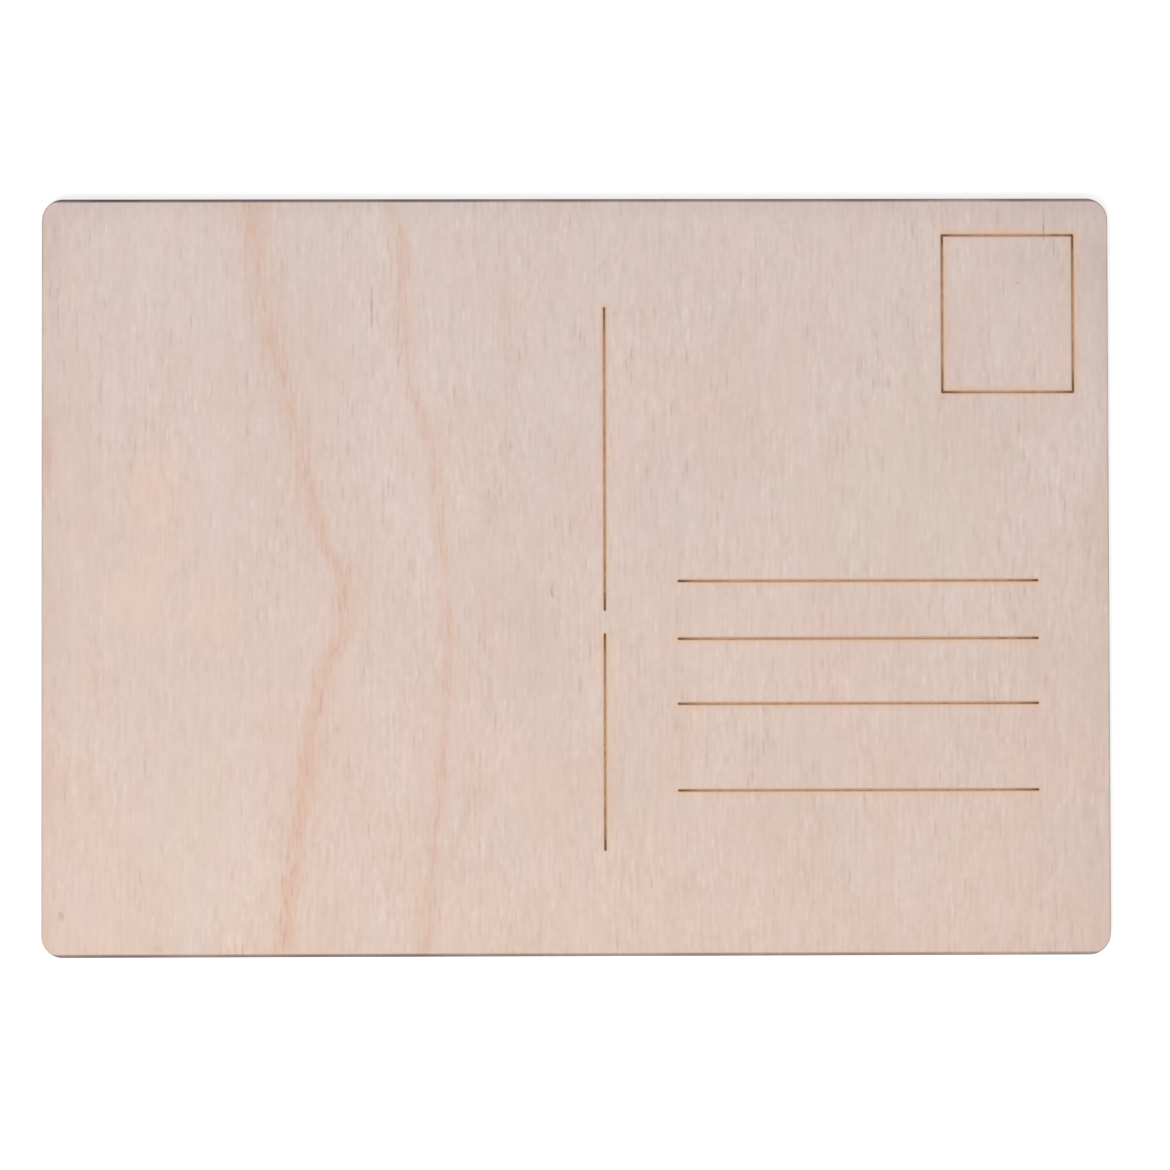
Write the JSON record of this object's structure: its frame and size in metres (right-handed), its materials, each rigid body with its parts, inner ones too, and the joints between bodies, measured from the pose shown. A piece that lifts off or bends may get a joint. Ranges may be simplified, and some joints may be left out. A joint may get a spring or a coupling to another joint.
{
  "type": "wooden postcard",
  "caption": "Thin plywood postcard in A6 with rounded corners and laser-engraved stamp frame, divider and address lines on a bare written face.",
  "frame": {"origin": "centre of the card's back, which it lies on", "axes": "+X along the long side towards the stamp frame, +Y along the short side towards the edge above the stamp frame, +Z out of the written face"},
  "size_m": [0.148, 0.105, 0.002],
  "materials": {
    "face_veneer": "bare sanded pale veneer, grain along the short side",
    "core_veneer": "bare pale veneer, grain along the long side",
    "glue": "hardened wood glue, brown where the laser cut it",
    "char": "wood burnt brown by the engraving laser"
  },
  "bodies": {
    "root": {"back_veneer": "face_veneer", "back_glue_film": "glue", "core_veneer": "core_veneer", "front_glue_film": "glue", "front_veneer": "face_veneer", "stamp_frame_char": "char", "divider_upper_char": "char", "divider_lower_char": "char", "address_line_1_char": "char", "address_line_2_char": "char", "address_line_3_char": "char", "address_line_4_char": "char"}
  },
  "joints": []
}
